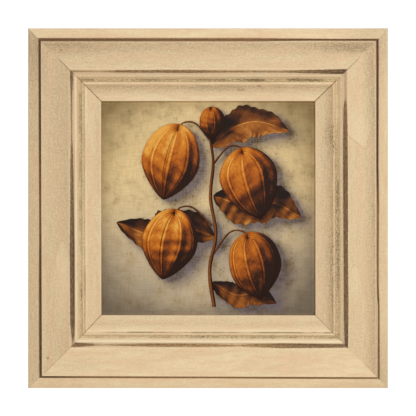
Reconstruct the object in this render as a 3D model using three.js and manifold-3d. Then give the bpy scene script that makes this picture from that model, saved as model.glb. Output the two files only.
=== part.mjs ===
// A framed picture: a stretched canvas in a wide mitred moulding, hung on a wall by a sawtooth hanger.
// Millimetres, +Z up. The picture faces -Y and the wall is the plane y = 0.
// The origin is where the wall nail, under the hanger's middle notch, comes out of the wall.
import * as THREE from "three";
import { mergeVertices } from "three/addons/utils/BufferGeometryUtils.js";
import Module from "manifold-3d";

const wasm = await Module();
wasm.setup();

// Driving dimensions
const OUTSIDE = 406.4; // the square frame, 16 inches
const RAIL_WIDTH = 82.55; // the moulding, from outside edge to sight edge, 3 1/4 inches
const PICTURE = 254; // the stretched canvas, 10 inches
const MITRE_GAP = 0.3; // between two rails, square to the joint
const SEAT_GAP = 0.2; // between a piece and what it sits on
const HANGER_DROP = 28; // from the frame's top edge to the hanger's middle notch

// The moulding's profile: across is measured from the outside edge, height from the moulding's back
const LIP = { outerHeight: 30.6, innerHeight: 31.2, arris: 1, width: 11.5 };
const GROOVE = { across: 12.9, height: 29.4 };
const BAND = { start: 14.5, startHeight: 34.6, end: 46.6, endHeight: 35.4, hollow: 1.3 };
const RISER = { end: 50.4, endHeight: 31.4 };
const BEAD = { across: 53.4, height: 31.2, radius: 2.4 };
const HOLLOW = { start: 56, startHeight: 30.6, end: 60.3, depth: 1.8 };
const FILLET = { height: 31.1, end: 62.7 };
const SLIP = { start: 63.8, startHeight: 30.9, quirkDepth: 0.6, cove: 69, endHeight: 27.4, nose: 1.4 };
const REBATE = { width: 7.95, depth: 22 };

// The canvas and the bars that it is stretched on
const CANVAS = { thickness: 0.7, turnedEdge: 22 };
const BAR = { width: 38, thickness: 17, bevelStart: 4, bevelDrop: 3.4, edge: 1.5 };
const TONGUE = { share: 1 / 3, clearance: 0.3 };
const STAPLE = { crown: 11, wire: 1.2, height: 0.5, leg: 7, inFromEdge: 10, clearance: 0.15 };
const STAPLES_ALONG_BAR = [-78, -28, 28, 78];

// What holds it together and to the wall
const V_NAIL = { leg: 6.4, thickness: 0.7, depth: 10, proud: 0.1, clearance: 0.12 };
const V_NAILS_ACROSS = [24, 57];
const CLIP = { width: 14, thickness: 1.2, heel: 57, bend: 75, run: 3.2, thicken: 0.5, toe: 92, hole: 2.1 };
const SCREW = { across: 65, head: 3.4, headHeight: 1.7, shank: 1.6, length: 13, clearance: 0.2 };
const CROSS_SLOT = { width: 0.8, length: 3.6, depth: 0.9 };
const HANGER = { length: 50, height: 10, thickness: 0.8, standoff: 2, foot: 9, ramp: 3, hole: 1.1 };
const TEETH = { pitch: 3, depth: 1.6, count: 9 };
const HANGER_NAIL = { across: 20.6, head: 2, headHeight: 0.8, shank: 0.8, length: 12, clearance: 0.15 };
const BUMPER = { diameter: 12, thickness: 4, inFromSide: 52, upFromEdge: 20 };

// How finely curves are cut into flats
const CURVE_SEGMENTS = 6;
const ROUND_SIDES = 20;

// Places worked out from the above; heights are from the moulding's back, which is at BACK_Y
const HALF = OUTSIDE / 2;
const BACK_Y = -BUMPER.thickness - SEAT_GAP;
const CENTRE_Z = HANGER_DROP - HALF;
const CANVAS_FRONT = REBATE.depth - SEAT_GAP;
const BAR_FRONT = CANVAS_FRONT - CANVAS.thickness - SEAT_GAP;
const BAR_BACK = BAR_FRONT - BAR.thickness;
const CANVAS_BACK = BAR_BACK - SEAT_GAP - CANVAS.thickness;
const BAR_HALF = PICTURE / 2 - CANVAS.thickness - SEAT_GAP;
const SCREW_Z = SCREW.across - HALF;
const HANGER_NAIL_Z = HANGER.height / 2 - TEETH.depth;
const PAST = 1; // how far a cutter runs past the face that it cuts

function finish(color, roughness, metalness = 0) {
  return new THREE.MeshStandardMaterial({ color, roughness, metalness });
}

const MATERIALS = {
  moulding: finish(0xdcc096, 0.6),
  canvas: finish(0xa8946c, 0.8),
  pine: finish(0xd9b987, 0.7),
  zinc: finish(0xb8bbbd, 0.35, 1),
  brass: finish(0xc09a4a, 0.35, 1),
  bumper: finish(0x3a3634, 0.9),
};

// The four sides of the square, as quarter turns about Y from the bottom one
const SIDES = { bottom: 0, left: 1, top: 2, right: 3 };

function turnOf(side) {
  return (SIDES[side] * Math.PI) / 2;
}

// A closed geometry as a solid that can be joined and cut, and back again
function solidOf(geometry) {
  const bare = geometry.clone();
  bare.deleteAttribute("normal");
  bare.deleteAttribute("uv");
  const merged = mergeVertices(bare, 1e-4);
  const mesh = new wasm.Mesh({
    numProp: 3,
    vertProperties: merged.attributes.position.array,
    triVerts: new Uint32Array(merged.index.array),
  });
  return new wasm.Manifold(mesh);
}

function geometryOf(solid) {
  const mesh = solid.getMesh();
  const geometry = new THREE.BufferGeometry();
  geometry.setAttribute("position", new THREE.BufferAttribute(new Float32Array(mesh.vertProperties), 3));
  geometry.setIndex(new THREE.BufferAttribute(new Uint32Array(mesh.triVerts), 1));
  geometry.computeVertexNormals();
  return geometry;
}

function joined(geometries) {
  return geometryOf(geometries.map(solidOf).reduce((whole, solid) => whole.add(solid)));
}

function cut(geometry, cutters) {
  return geometryOf(cutters.map(solidOf).reduce((left, cutter) => left.subtract(cutter), solidOf(geometry)));
}

// A box between two corners
function box(low, high) {
  const size = high.map((value, i) => value - low[i]);
  const middle = high.map((value, i) => (value + low[i]) / 2);
  return new THREE.BoxGeometry(...size).translate(...middle);
}

// A solid of revolution about Y, from [radius, y] points that start and end on the axis
function turned(points) {
  return new THREE.LatheGeometry(
    points.map(([radius, y]) => new THREE.Vector2(radius, y)),
    ROUND_SIDES,
  );
}

// A round rod along Y, from one y to another
function rod(radius, fromY, toY) {
  return turned([
    [0, fromY],
    [radius, fromY],
    [radius, toY],
    [0, toY],
  ]);
}

function outline(points) {
  return new THREE.Shape(points.map(([x, y]) => new THREE.Vector2(x, y)));
}

function extruded(shape, depth) {
  return new THREE.ExtrudeGeometry(shape, { depth, bevelEnabled: false, curveSegments: CURVE_SEGMENTS });
}

// An outline in x and z, pushed from one y to another
function slab(shape, fromY, toY) {
  return extruded(shape, toY - fromY).rotateX(Math.PI / 2).translate(0, toY, 0);
}

// Lays an extrusion along the bottom side of a square. The profile's x runs across, from the square's edge
// inwards, and its y is height. reach gives half the length at each distance across.
function alongBottom(profile, half, reach) {
  const geometry = extruded(profile, 1);
  const position = geometry.attributes.position;
  for (let i = 0; i < position.count; i++) {
    const across = position.getX(i);
    const along = position.getZ(i) > 0.5 ? reach(across) : -reach(across);
    position.setXYZ(i, along, BACK_Y - position.getY(i), across - half);
  }
  return geometry;
}

function mitred(profile, half) {
  return alongBottom(profile, half, (across) => half - across - MITRE_GAP * Math.SQRT1_2);
}

function mouldingProfile() {
  const bandPull = (BAND.startHeight + BAND.endHeight) / 2 - 2 * BAND.hollow;
  const hollowPull = HOLLOW.startHeight - 2 * HOLLOW.depth;
  const shape = new THREE.Shape();
  shape.moveTo(0, 0);
  shape.lineTo(RAIL_WIDTH - REBATE.width, 0);
  shape.lineTo(RAIL_WIDTH - REBATE.width, REBATE.depth);
  shape.lineTo(RAIL_WIDTH, REBATE.depth);
  shape.lineTo(RAIL_WIDTH, SLIP.endHeight - SLIP.nose);
  shape.quadraticCurveTo(RAIL_WIDTH, SLIP.endHeight, RAIL_WIDTH - SLIP.nose, SLIP.endHeight);
  shape.quadraticCurveTo(SLIP.cove, SLIP.endHeight, SLIP.start, SLIP.startHeight);
  shape.lineTo(FILLET.end, FILLET.height - SLIP.quirkDepth);
  shape.lineTo(FILLET.end, FILLET.height);
  shape.lineTo(HOLLOW.end, FILLET.height);
  shape.quadraticCurveTo((HOLLOW.start + HOLLOW.end) / 2, hollowPull, HOLLOW.start, HOLLOW.startHeight);
  shape.absarc(BEAD.across, BEAD.height, BEAD.radius, 0, Math.PI, false);
  shape.lineTo(RISER.end, RISER.endHeight);
  shape.lineTo(BAND.end, BAND.endHeight);
  shape.quadraticCurveTo((BAND.start + BAND.end) / 2, bandPull, BAND.start, BAND.startHeight);
  shape.lineTo(GROOVE.across, GROOVE.height);
  shape.lineTo(LIP.width, LIP.innerHeight);
  shape.lineTo(LIP.arris, LIP.outerHeight);
  shape.quadraticCurveTo(0, LIP.outerHeight, 0, LIP.outerHeight - LIP.arris);
  return shape;
}

// A V-nail lies across the mitre at the right end of the bottom rail, with its point towards the picture
function vNail(across, clearance, fromHeight, toHeight) {
  const reach = V_NAIL.leg + clearance;
  const side = (V_NAIL.thickness / 2 + clearance) * Math.SQRT1_2;
  const shape = outline([
    [0, 2 * side],
    [-reach - side, side - reach],
    [side - reach, -side - reach],
    [0, -2 * side],
    [reach - side, -side - reach],
    [reach + side, side - reach],
  ]);
  const corner = HALF - across;
  return slab(shape, BACK_Y - toHeight, BACK_Y - fromHeight)
    .rotateY(-Math.PI / 4)
    .translate(corner, 0, -corner);
}

function vNailSlots() {
  const bottom = V_NAIL.depth - V_NAIL.proud + V_NAIL.clearance;
  const atRight = V_NAILS_ACROSS.map((across) => vNail(across, V_NAIL.clearance, -PAST, bottom));
  const atLeft = atRight.map((slot) => slot.clone().rotateY(Math.PI / 2));
  return [...atRight, ...atLeft];
}

function rail(side) {
  const screwHole = rod(SCREW.shank + SCREW.clearance, BACK_Y - SCREW.length, BACK_Y + PAST);
  const cutters = [...vNailSlots(), screwHole.translate(0, 0, SCREW_Z)];
  if (side === "top") {
    const radius = HANGER_NAIL.shank + HANGER_NAIL.clearance;
    for (const end of [-1, 1]) {
      const nailHole = rod(radius, BACK_Y - HANGER_NAIL.length, BACK_Y + PAST);
      cutters.push(nailHole.translate(end * HANGER_NAIL.across, 0, HANGER_DROP - HANGER_NAIL_Z - HALF));
    }
  }
  return cut(mitred(mouldingProfile(), HALF), cutters);
}

// A bar's profile: bevelled on the front, so that the canvas touches only its outside edge
function barProfile() {
  const shape = new THREE.Shape();
  shape.moveTo(0, BAR_BACK);
  shape.lineTo(BAR.width, BAR_BACK);
  shape.lineTo(BAR.width, BAR_FRONT - BAR.bevelDrop);
  shape.lineTo(BAR.bevelStart, BAR_FRONT);
  shape.lineTo(BAR.edge, BAR_FRONT);
  shape.quadraticCurveTo(0, BAR_FRONT, 0, BAR_FRONT - BAR.edge);
  return shape;
}

// The middle layer of the two corner squares: a tongue on the upright bars, a slot in the level ones
function cornerLayers(clearance) {
  const layer = (BAR.thickness * TONGUE.share) / 2 + clearance;
  const middle = BACK_Y - (BAR_BACK + BAR_FRONT) / 2;
  const inner = BAR_HALF - BAR.width - clearance;
  const outer = BAR_HALF + clearance;
  const right = box([inner, middle - layer, -outer], [outer, middle + layer, -inner]);
  return [right, right.clone().translate(-inner - outer, 0, 0)];
}

function bar(side) {
  const plain = mitred(barProfile(), BAR_HALF);
  const upright = side === "left" || side === "right";
  const jointed = upright
    ? joined([plain, ...cornerLayers(0)])
    : cut(plain, cornerLayers(TONGUE.clearance));
  return cut(jointed, STAPLES_ALONG_BAR.map((x) => staple(x, STAPLE.clearance)));
}

// A staple through the canvas into the bottom bar: its crown lies on the turned edge
function staple(x, grow) {
  const z = STAPLE.inFromEdge - PICTURE / 2;
  const seat = BACK_Y - CANVAS_BACK + SEAT_GAP;
  const top = seat + STAPLE.height;
  const width = STAPLE.wire / 2 + grow;
  const reach = STAPLE.crown / 2 + grow;
  const crown = box([x - reach, seat, z - width], [x + reach, top, z + width]);
  const legs = [-1, 1].map((end) => {
    const at = x + end * (STAPLE.crown - STAPLE.wire) * 0.5;
    return box([at - width, seat - STAPLE.leg - grow, z - width], [at + width, top, z + width]);
  });
  return joined([crown, ...legs]);
}

// The canvas: a thin tray over the bars, turned in at the back
function canvas() {
  const half = PICTURE / 2;
  const inside = half - CANVAS.thickness;
  const turnedIn = half - CANVAS.turnedEdge;
  const front = BACK_Y - CANVAS_FRONT;
  const back = BACK_Y - CANVAS_BACK;
  const whole = box([-half, front, -half], [half, back, half]);
  const room = box(
    [-inside, front + CANVAS.thickness, -inside],
    [inside, back - CANVAS.thickness, inside],
  );
  const opening = box([-turnedIn, back - 2 * CANVAS.thickness, -turnedIn], [turnedIn, back + PAST, turnedIn]);
  const stapleHoles = Object.keys(SIDES).flatMap((side) =>
    STAPLES_ALONG_BAR.map((x) => staple(x, STAPLE.clearance).rotateY(turnOf(side))),
  );
  return cut(whole, [room, opening, ...stapleHoles]);
}

// A Z-shaped strip from the bottom rail's back down onto the turned edge of the canvas
function clip() {
  const foot = -SEAT_GAP;
  const rest = CANVAS_BACK - SEAT_GAP;
  const side = outline([
    [CLIP.heel, foot],
    [CLIP.heel, foot - CLIP.thickness],
    [CLIP.bend + CLIP.thicken, foot - CLIP.thickness],
    [CLIP.bend + CLIP.run + CLIP.thicken, rest - CLIP.thickness],
    [CLIP.toe, rest - CLIP.thickness],
    [CLIP.toe, rest],
    [CLIP.bend + CLIP.run, rest],
    [CLIP.bend, foot],
  ]);
  const strip = alongBottom(side, HALF, () => CLIP.width / 2);
  const hole = rod(CLIP.hole, BACK_Y - PAST, BACK_Y + CLIP.thickness + PAST);
  return cut(strip, [hole.translate(0, 0, SCREW_Z)]);
}

// A wood screw with a cross-slotted pan head, along -Y from the head's underside at y = 0
function screw() {
  const { head, headHeight, shank, length } = SCREW;
  const body = turned([
    [0, -length],
    [shank, -length + 2 * shank],
    [shank, 0],
    [head, 0],
    [head, 0.4 * headHeight],
    [0.75 * head, 0.85 * headHeight],
    [0, headHeight],
  ]);
  const slotLow = [-CROSS_SLOT.length / 2, headHeight - CROSS_SLOT.depth, -CROSS_SLOT.width / 2];
  const slotHigh = [CROSS_SLOT.length / 2, headHeight + PAST, CROSS_SLOT.width / 2];
  const slot = box(slotLow, slotHigh);
  return cut(body, [slot, slot.clone().rotateY(Math.PI / 2)]);
}

// A bent strip: flat feet on the rail, the middle held off it, teeth along the lower edge
function hanger() {
  const half = HANGER.length / 2;
  const bends = [
    [-half, 0],
    [HANGER.foot - half, 0],
    [HANGER.foot + HANGER.ramp - half, HANGER.standoff],
    [half - HANGER.foot - HANGER.ramp, HANGER.standoff],
    [half - HANGER.foot, 0],
    [half, 0],
  ];
  const wallSide = bends.map(([x, y]) => [x, y + HANGER.thickness]).reverse();
  const strip = extruded(outline([...bends, ...wallSide]), HANGER.height);
  const cutters = [];
  for (let i = 0; i < TEETH.count; i++) {
    const notch = outline([
      [0, 0],
      [-TEETH.pitch, -2 * TEETH.depth],
      [TEETH.pitch, -2 * TEETH.depth],
    ]);
    const x = (i - (TEETH.count - 1) / 2) * TEETH.pitch;
    cutters.push(extruded(notch, BUMPER.thickness).rotateX(Math.PI / 2).translate(x, 0, 0));
  }
  for (const end of [-1, 1]) {
    const hole = rod(HANGER.hole, BACK_Y - PAST, BACK_Y + HANGER.thickness + PAST);
    cutters.push(hole.translate(end * HANGER_NAIL.across, 0, HANGER_NAIL_Z));
  }
  return cut(strip.translate(0, BACK_Y + SEAT_GAP, -TEETH.depth), cutters);
}

// A round-headed nail, along -Y from the head's underside at y = 0
function hangerNail() {
  const { head, headHeight, shank, length } = HANGER_NAIL;
  return turned([
    [0, -length],
    [shank, -length + 2 * shank],
    [shank, 0],
    [head, 0],
    [head, 0.5 * headHeight],
    [0.5 * head, headHeight],
    [0, headHeight],
  ]);
}

function named(name, geometry, material) {
  const mesh = new THREE.Mesh(geometry, material);
  mesh.name = name;
  return mesh;
}

// One side of the frame, as the bottom one, with the corner fastenings at its right end
function edge(side) {
  const group = new THREE.Group();
  group.rotation.y = turnOf(side);
  group.add(named("rail_" + side, rail(side), MATERIALS.moulding));
  group.add(named("stretcher_" + side, bar(side), MATERIALS.pine));
  STAPLES_ALONG_BAR.forEach((x, i) => {
    group.add(named(`staple_${side}_${i + 1}`, staple(x, 0), MATERIALS.zinc));
  });
  V_NAILS_ACROSS.forEach((across, i) => {
    const nail = vNail(across, 0, -V_NAIL.proud, V_NAIL.depth - V_NAIL.proud);
    group.add(named(`v_nail_${side}_${i + 1}`, nail, MATERIALS.zinc));
  });
  group.add(named("clip_" + side, clip(), MATERIALS.zinc));
  const clipScrew = named("clip_screw_" + side, screw(), MATERIALS.zinc);
  clipScrew.position.set(0, BACK_Y + CLIP.thickness + 2 * SEAT_GAP, SCREW_Z);
  group.add(clipScrew);
  return group;
}

// The frame's own group is centred on the square; the hanger is placed from the origin
const frame = new THREE.Group();
frame.position.z = CENTRE_Z;
for (const side of Object.keys(SIDES)) {
  frame.add(edge(side));
}
frame.add(named("canvas", canvas(), MATERIALS.canvas));

const part = new THREE.Group();
part.add(frame);
part.add(named("hanger", hanger(), MATERIALS.brass));

const ENDS = { left: -1, right: 1 };
for (const [name, end] of Object.entries(ENDS)) {
  const bumper = named("bumper_" + name, rod(BUMPER.diameter / 2, -BUMPER.thickness, 0), MATERIALS.bumper);
  bumper.position.set(end * (HALF - BUMPER.inFromSide), 0, BUMPER.upFromEdge - HALF);
  frame.add(bumper);

  const nail = named("hanger_nail_" + name, hangerNail(), MATERIALS.brass);
  nail.position.set(end * HANGER_NAIL.across, BACK_Y + HANGER.thickness + 2 * SEAT_GAP, HANGER_NAIL_Z);
  part.add(nail);
}

export default part;
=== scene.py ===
"""The look of a framed picture: a rubbed cream moulding, a painted canvas and the fittings on its back.

Lengths are millimetres. As the picture is looked at, x runs to the right and z up from the middle of the
frame, and height runs from the moulding's back towards the viewer. Meshes are in metres in the row frame.
"""

import math
from contextlib import contextmanager
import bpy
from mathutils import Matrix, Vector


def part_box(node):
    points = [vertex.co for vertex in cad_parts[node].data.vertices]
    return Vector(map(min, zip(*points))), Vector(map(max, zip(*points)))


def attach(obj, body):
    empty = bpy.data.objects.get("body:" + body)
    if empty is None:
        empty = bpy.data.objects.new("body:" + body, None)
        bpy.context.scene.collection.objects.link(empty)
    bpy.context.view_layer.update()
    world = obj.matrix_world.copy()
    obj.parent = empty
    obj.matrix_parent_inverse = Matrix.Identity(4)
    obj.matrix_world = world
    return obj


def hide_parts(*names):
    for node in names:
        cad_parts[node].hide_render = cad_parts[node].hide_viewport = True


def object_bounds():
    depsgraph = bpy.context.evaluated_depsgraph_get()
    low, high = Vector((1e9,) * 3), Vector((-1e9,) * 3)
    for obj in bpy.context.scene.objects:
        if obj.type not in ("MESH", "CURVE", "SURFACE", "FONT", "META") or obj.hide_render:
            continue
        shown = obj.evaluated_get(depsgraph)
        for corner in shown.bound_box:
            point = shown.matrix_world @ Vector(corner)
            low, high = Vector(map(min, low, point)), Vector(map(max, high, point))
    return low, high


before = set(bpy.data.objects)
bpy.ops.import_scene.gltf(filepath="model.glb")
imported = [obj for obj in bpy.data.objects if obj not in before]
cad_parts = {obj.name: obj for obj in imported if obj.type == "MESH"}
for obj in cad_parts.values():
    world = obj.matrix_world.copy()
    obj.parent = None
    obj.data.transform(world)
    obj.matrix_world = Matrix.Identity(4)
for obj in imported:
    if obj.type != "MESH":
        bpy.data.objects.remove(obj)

from types import SimpleNamespace as Sizes

import bmesh
import bpy
import numpy as np
from mathutils import Vector

CAD_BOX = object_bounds()
MM = 0.001

# Places that come from the frame
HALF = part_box("rail_right")[1].x / MM
CENTRE_Z = (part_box("rail_top")[1].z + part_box("rail_bottom")[0].z) / 2 / MM
BACK_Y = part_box("rail_top")[1].y / MM
CANVAS_LOW, CANVAS_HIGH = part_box("canvas")
CANVAS_HALF = CANVAS_HIGH.x / MM
CANVAS_FRONT = BACK_Y - CANVAS_LOW.y / MM
CANVAS_DEPTH = (CANVAS_HIGH.y - CANVAS_LOW.y) / MM

# The moulding's profile, within half a millimetre of the solids'. Across is measured from the outside edge.
RAIL_WIDTH = 82.55
LIP = Sizes(outer_height=30.6, inner_height=31.2, width=11.5)
GROOVE = Sizes(across=12.9, height=29.4)
BAND = Sizes(start=14.5, start_height=34.6, end=46.6, end_height=35.4, hollow=1.3)
RISER = Sizes(end=50.4, end_height=31.4)
BEAD = Sizes(across=53.4, height=31.2, radius=2.4, last_turn=0.15)
HOLLOW = Sizes(start=55.9, start_height=31.3, end=60.7, depth=1.9)
FILLET = Sizes(height=31.1, end=63.1)
SLIP = Sizes(start=64.2, start_height=30.9, quirk=0.6, cove=69.0, end_height=27.4, nose=1.4)
REBATE = Sizes(width=7.95, depth=22.0)

# The most of a side that the easing of a corner takes
EASED_SHARE = 0.45
# Each mitre is closed, apart from a gap between the slips that opens over a short run across and up
MITRE = Sizes(closed=0.02, gap=0.17, across=60.0, across_run=6.0, height=24.0, height_run=3.0)
# Cross-sections along a rail, and the share of their spacing that crowds them towards its ends
STATIONS = 150
CROWDING = 0.25
# Dents on the arrises, from handling
DENTS = Sizes(count=9, reach=150, size=(0.8, 2.2), depth=(0.1, 0.4), length=1.6, above=20.0, seed=11)
# The wood is bare on the back, and inside the rebate past this place across
BARE = Sizes(back=1.2, past_rebate=1.0, inside=40.0)
# How far apart in the grain the four rails are cut
GRAIN_SHIFT = 700
# Angles in radians past which an edge looks sharp on a rail and on the canvas
RAIL_SHARP = 0.9
CANVAS_SHARP = 1.2

# The frame in the photograph is a little out of square inside its straight outside edges, most at the lower
# right. The shift fades in from the outside edge and partly out again towards the picture.
SKEW = Sizes(x=0.2, x_low=1.45, z=-0.4, z_low=0.3, z_low_right=-1.5, fade_in=10.0)
SKEW_OUT = Sizes(start=50.0, run=32.0, share=0.7)
# The slips also stand a little wide of the true opening, and a little high
SIGHT_SPREAD = Sizes(start=60.0, run=20.0, out=0.5, up=0.2)

# Quarter turns about Y from the bottom rail, as the solids are placed
QUARTER_TURNS = {"bottom": 0, "left": 1, "top": 2, "right": 3}

# The paint on each rail. Places run from 0 to 1 along a rail, left to right on the level rails
# and top to bottom on the upright ones. First the widths of the dark lines in the groove and on the rubbed
# step, as place: width.
GROOVE_LINE = {
    "left": {0.0: 3.2, 0.3: 3.4, 0.5: 2.8, 0.65: 3.4, 0.85: 3.8, 1.0: 3.2},
    "top": {0.0: 4.5, 0.64: 4.7, 0.7: 3.6, 0.78: 2.3, 0.85: 2.2, 1.0: 2.6},
    "right": {0.0: 2.6, 0.2: 2.8, 0.6: 2.9, 0.71: 2.4, 0.77: 1.7, 1.0: 1.7},
    "bottom": {0.0: 2.4, 0.3: 2.1, 0.5: 1.9, 0.75: 2.3, 1.0: 1.8},
}
STEP_LINE = {
    "left": {0.13: 3.4, 0.18: 2.0, 0.3: 1.6, 0.4: 3.3, 0.52: 3.9, 0.6: 5.4, 0.82: 4.8, 0.86: 2.5, 0.88: 1.0},
    "top": {0.13: 1.7, 0.2: 1.3, 0.26: 2.6, 0.45: 3.2, 0.56: 2.1, 0.7: 1.9, 0.76: 3.0, 0.87: 5.4},
    "right": {0.13: 0.7, 0.19: 0.9, 0.22: 3.6, 0.28: 4.8, 0.4: 5.4, 0.65: 4.8, 0.8: 4.9, 0.88: 3.4},
    "bottom": {0.13: 5.0, 0.19: 1.5, 0.28: 2.2, 0.34: 3.4, 0.5: 3.2, 0.58: 1.8, 0.7: 5.4, 0.88: 3.4},
}
# How far each line's middle lies inward of the groove's and the step's own
GROOVE_DRIFT = {
    "left": {0.6: 0.0, 0.7: -0.3},
    "top": {0.7: -0.2, 0.78: -0.6, 0.86: -0.3},
    "right": {0.1: -1.0, 0.2: -0.7, 0.38: -0.1, 0.5: -0.9, 0.63: 0.1, 0.71: 0.0, 0.77: -1.4, 1.0: -1.1},
    "bottom": {0.0: 0.0},
}
STEP_DRIFT = {
    "left": {0.0: 0.0, 0.82: 0.2, 0.875: 0.6},
    "top": {0.0: -0.4, 1.0: -0.1},
    "right": {0.0: 0.0, 0.5: 0.2, 1.0: -0.3},
    "bottom": {0.0: 0.6, 1.0: 0.3},
}
# A step line narrower than full is rubbed less deep, down to least; the line runs on past the riser
STEP_RUB = Sizes(full=2.2, least=0.35, past_riser=0.7)
# How dark the stain is along each line, from 0, golden, to 1, umber
GROOVE_STAIN = {
    "left": {0.0: 0.85, 0.25: 0.8, 0.4: 0.6, 0.55: 0.5, 0.65: 0.8, 1.0: 0.85},
    "top": {0.0: 0.65, 0.4: 0.38, 0.64: 0.3, 0.76: 0.65},
    "right": {0.0: 1.0, 0.42: 0.95, 0.52: 0.3, 0.7: 0.4, 0.76: 1.0},
    "bottom": {0.07: 0.9, 0.14: 0.3, 0.6: 0.15, 0.75: 0.4, 1.0: 0.15},
}
STEP_STAIN = {
    "left": {0.0: 0.85, 0.25: 0.8, 0.4: 0.75, 0.6: 0.95, 0.82: 0.95, 0.87: 0.6},
    "top": {0.0: 0.35, 0.45: 0.6, 0.55: 0.2, 0.7: 0.4, 0.86: 1.0},
    "right": {0.0: 0.4, 0.4: 0.75, 0.8: 0.75, 0.87: 1.0},
    "bottom": {0.0: 0.75, 0.3: 0.3, 0.46: 0.1, 0.62: 0.05, 0.7: 0.35, 0.78: 0.65, 1.0: 0.5},
}
# Where on the band the groove's stain gives way to the step's
STAIN_CHANGE = BAND.end - 10
# How much grey wash and painted shade lies on the members, from the lip to the sight edge; below 0 a pale
# painted highlight lies there instead
WASH_AND_SHADE = {
    "across": (2.5, 9.5, 17, 22, 30, 44, 46.5, 52.4, 54.6, 56, 58.5, 60.9, 62.6, 64.8, 67, 72, 79),
    "left": (0.68, 0.68, 0.5, 0.57, 0.6, 0.7, 0.85, -0.6, 0.25, 0.1, 0.5, -0.4, 0.8, -0.1, 0.4, 0.35, 0.4),
    "top": (0.12, -0.3, 1, 0.95, 0.55, 0.36, 0.4, 0.3, 0.75, 0.3, 0.5, 0.15, -0.1, 1.2, 1.05, 0.6, 0.2),
    "right": (0.25, 0.35, 1.1, 0.8, 0.42, 0.45, 0.5, 0.85, 0.7, -0.05, 0.4, 0.6, 0.7, 1.05, 0.95, 0.7, 0.55),
    "bottom": (0.27, 0.12, 0, 0.05, 0.05, 0.08, 0.1, -0.45, -0.75, -0.8, 0.25, 0.25, 0.3, -0.7, 0, 0.5, 0.3),
}
# Patches of heavier or rubbed wash and painted shade, below 0 of painted highlight: place along the rail,
# place across it, length, width and amount
WASH_AND_LIGHT_PATCHES = {
    "left": [
        (0.05, 9, 42, 11, 0.7), (0.2, 30, 110, 25, 0.14),
        (0.72, 41, 45, 9, -0.35), (0.3, 78, 60, 5, 0.15),
    ],
    "top": [(0.1, 21, 50, 9, 0.45), (0.9, 20, 38, 8, 0.75), (0.97, 5, 34, 8, 0.6), (0.55, 68, 40, 4, 0.25)],
    "right": [
        (0.5, 13.1, 400, 0.8, -1.6), (0.04, 6, 45, 9, 0.5), (0.08, 20, 35, 10, 0.25),
        (0.97, 7, 40, 9, 0.6), (0.3, 67, 16, 6, 0.3),
    ],
    "bottom": [
        (0.97, 6, 40, 8, 0.35), (0.08, 4, 45, 6, 0.2),
        (0.13, 25, 28, 8, 0.22), (0.65, 18, 30, 8, 0.15),
    ],
}
# Ragged dirt, given as the patches are; at about 0.5 it breaks into specks
DIRT = {
    "left": [
        (0.07, 22, 9, 7, 0.34), (0.2, 60, 34, 2.6, 0.42),
        (0.915, 21.2, 1.8, 1.4, 0.9), (0.747, 59.3, 20, 1.8, 0.55),
    ],
    "top": [
        (0.09, 24, 9, 7, 0.34), (0.3, 58, 60, 2.4, 0.42), (0.612, 57.8, 17, 1.9, 0.62),
        (0.643, 58.8, 9, 2.0, 0.55), (0.735, 57.2, 8, 2.0, 0.75), (0.79, 58.4, 17, 1.5, 0.6),
        (0.59, 68.5, 7, 3.2, 0.56), (0.642, 64.8, 3, 1.3, 0.9),
    ],
    "right": [
        (0.285, 65.5, 16, 6.5, 0.46), (0.33, 62.5, 10, 3, 0.3),
        (0.6, 57.8, 112, 3.6, 0.54), (0.64, 64.8, 80, 2.6, 0.45),
    ],
    "bottom": [(0.6, 28, 4, 3, 0.36), (0.16, 29.6, 5, 6, 0.3), (0.5, 59, 110, 2.4, 0.36)],
}
# Arched figure of the wood: place and across of the tip, length (below 0 where the tip points on along the
# rail), half-widths to the outside and the inside at that length from the tip, bluntness, amount
ARCHES = {
    "left": [(0.588, 38.0, 16.0, 6.4, 6.4, 1.8, 0.9)],
    "top": [],
    "right": [(0.335, 26.7, -14.5, 4.0, 18.0, 0.9, 1.0), (0.655, 38.7, 11.3, 5.0, 5.7, 2.2, 1.0)],
    "bottom": [],
}
# An arch fades over some of its lengths along the rail, and near the band's two edges
ARCH_FADE = Sizes(lengths=4.0, outer=3.0, inner=2.0)
# Where the dark line of each mitre starts on the band, across from the outside, and how dark it is there, on
# the bead and on the slip
CORNER_LINES = {
    "top_left": (32.0, 0.75, 0.4, 0.8),
    "top_right": (31.0, 0.6, 0.1, 0.9),
    "bottom_left": (15.0, 0.3, 0.1, 0.55),
    "bottom_right": (42.0, 0.25, 0.2, 0.35),
}
# The run over which that line fades in, and where the slip's part of it starts
CORNER_FADE = 4.0
SLIP_LINE_START = 58.0
# How much glaze the quirk beside the slip holds
QUIRK_GLAZE = {
    "left": {0.64: 0.1, 0.69: 1.0, 0.78: 1.0, 0.82: 0.1},
    "top": {0.0: 0.4},
    "right": {0.0: 0.8},
    "bottom": {0.2: 0.1, 0.235: 1.15},
}
# Where the glaze in the hollow starts and ends across each rail, and how much of it there is along the rail
HOLLOW_EDGES = {"left": (56.8, 63.9), "top": (56.8, 60.3), "right": (56.4, 60.4), "bottom": (57.0, 60.6)}
HOLLOW_GLAZE = {
    "left": {0.15: 0.48, 0.35: 0.6, 0.55: 0.4, 0.75: 0.35, 0.9: 0.5},
    "top": {0.14: 0.75, 0.36: 0.8, 0.5: 0.95, 0.62: 1.2, 0.8: 1.1, 0.87: 0.6},
    "right": {0.14: 0.2, 0.27: 0.3, 0.34: 0.85, 0.6: 0.8, 0.75: 0.6, 0.9: 0.5},
    "bottom": {0.15: 0.45, 0.35: 0.45, 0.55: 0.65, 0.8: 0.75, 0.9: 0.5},
}

# The canvas, the corners of each folded ear in from its sides, how far an ear lies off the cloth, and how
# deep the back of the paint lies in it
CLOTH = Sizes(thickness=0.6, turned_edge=22.0, corner=1.5, painted_depth=1.0, grid=170, pitch=1.2)
EAR = [(0.4, 0.4), (27.0, 0.4), (20.0, 20.0)]
EAR_GAP = 0.05
PAINT_SUNK = 0.05
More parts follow.
